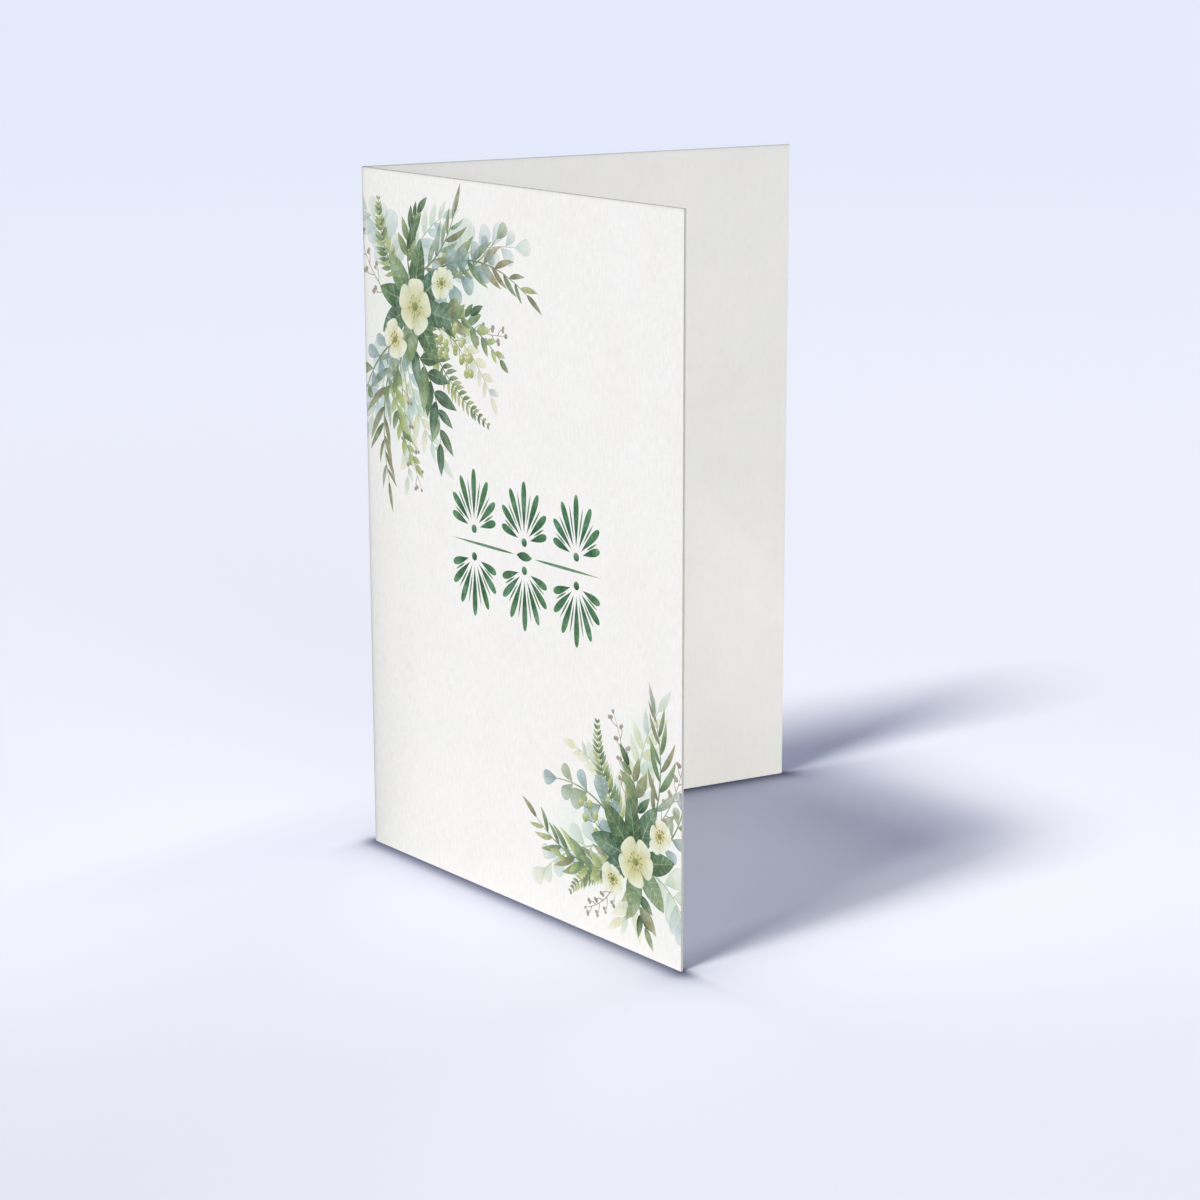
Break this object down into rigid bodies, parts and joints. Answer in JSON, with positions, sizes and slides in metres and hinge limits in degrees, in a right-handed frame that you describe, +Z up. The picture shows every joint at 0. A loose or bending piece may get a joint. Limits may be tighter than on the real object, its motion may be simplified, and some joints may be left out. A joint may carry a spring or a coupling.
{
  "type": "greeting card",
  "caption": "Folded greeting card that stands open on its lower edges, with a printed cover and blank inside and back.",
  "frame": {"origin": "the foot of the crease line, on the surface that the card stands on", "axes": "+Z up along the crease; +X along the cover, from the crease to its free edge; the cover's outer face looks towards -Y, and the back leaf turns from the cover towards +Y"},
  "size_m": [0.1054, 0.104, 0.148],
  "materials": {
    "board": "matte, uncoated, with a fine felt grain"
  },
  "bodies": {
    "root": {"folded_card": "board"}
  },
  "joints": []
}
